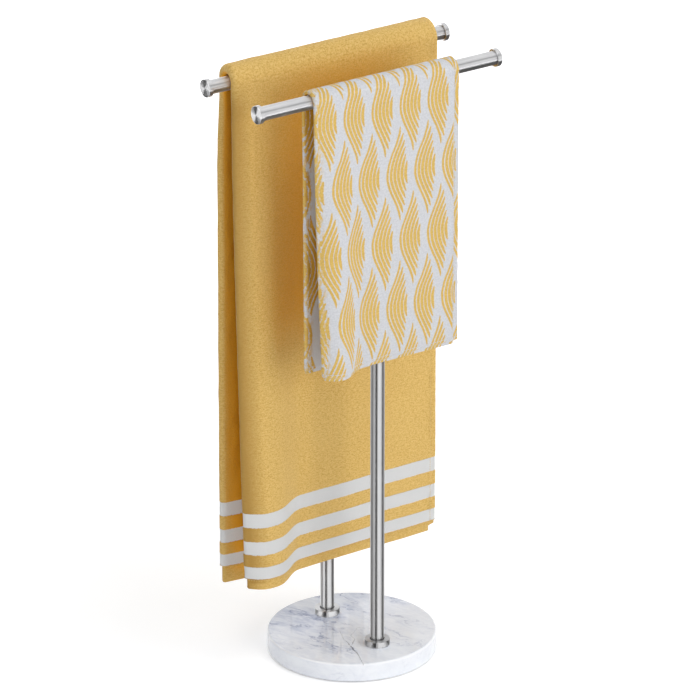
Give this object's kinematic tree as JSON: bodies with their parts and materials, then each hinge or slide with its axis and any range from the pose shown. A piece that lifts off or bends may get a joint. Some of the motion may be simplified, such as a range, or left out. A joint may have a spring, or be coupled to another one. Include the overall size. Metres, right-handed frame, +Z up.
{
  "type": "towel stand",
  "caption": "Free-standing towel stand with T-shaped rails on round posts, a round stone base, and a folded towel hung over each rail.",
  "frame": {"origin": "centre of the base's underside, on the floor", "axes": "+X along the rails, -Y towards the front rail with the smaller towel, +Z up"},
  "size_m": [0.381, 0.229, 0.8512],
  "materials": {
    "marble": "polished white marble with soft blue-grey veins",
    "pad_foam": "matt black foam",
    "brushed_steel": "brushed nickel-coloured steel, spun on the caps",
    "fastener_steel": "zinc plated",
    "nylon": "natural nylon",
    "bath_terry": "mustard yellow terry with three pale stripes near each hem",
    "hand_terry": "pale grey terry with a yellow leaf-shaped repeat"
  },
  "bodies": {
    "base": {"marble_base": "marble", "base_pad": "pad_foam", "front_collar": "brushed_steel", "front_pivot_bush": "nylon", "front_flat_washer": "fastener_steel", "rear_collar": "brushed_steel", "rear_pivot_bush": "nylon", "rear_flat_washer": "fastener_steel"},
    "front_tee": {"front_spring_washer": "fastener_steel", "front_base_bolt": "fastener_steel", "front_post_foot": "brushed_steel", "front_lower_post": "brushed_steel", "front_lower_post_plug": "fastener_steel", "front_post_stud": "fastener_steel", "front_upper_post_plug": "fastener_steel", "front_upper_post": "brushed_steel", "front_post_top_plug": "fastener_steel", "front_rail_stud": "fastener_steel", "front_rail_saddle": "brushed_steel", "front_rail": "brushed_steel", "front_rail_insert": "fastener_steel", "front_right_cap": "brushed_steel", "front_left_cap": "brushed_steel"},
    "rear_tee": {"rear_spring_washer": "fastener_steel", "rear_base_bolt": "fastener_steel", "rear_post_foot": "brushed_steel", "rear_lower_post": "brushed_steel", "rear_lower_post_plug": "fastener_steel", "rear_post_stud": "fastener_steel", "rear_upper_post_plug": "fastener_steel", "rear_upper_post": "brushed_steel", "rear_post_top_plug": "fastener_steel", "rear_rail_stud": "fastener_steel", "rear_rail_saddle": "brushed_steel", "rear_rail": "brushed_steel", "rear_rail_insert": "fastener_steel", "rear_right_cap": "brushed_steel", "rear_left_cap": "brushed_steel"},
    "bath_towel": {"bath_towel": "bath_terry"},
    "hand_towel": {"hand_towel": "hand_terry"}
  },
  "joints": [
    {"name": "front_tee_swivel", "type": "hinge", "parent": "base", "child": "front_tee", "pos_m": [0, -0.0595, 0.0305], "axis": [0, 0, 1], "range_deg": [-10, 10]},
    {"name": "rear_tee_swivel", "type": "hinge", "parent": "base", "child": "rear_tee", "pos_m": [0, 0.0595, 0.0305], "axis": [0, 0, 1], "range_deg": [-10, 10]},
    {"name": "hand_towel_lift", "type": "slide", "parent": "front_tee", "child": "hand_towel", "axis": [0, 0, 1], "range_m": [0, 0.42]},
    {"name": "bath_towel_lift", "type": "slide", "parent": "rear_tee", "child": "bath_towel", "axis": [0, 0, 1], "range_m": [0, 0.75]}
  ]
}
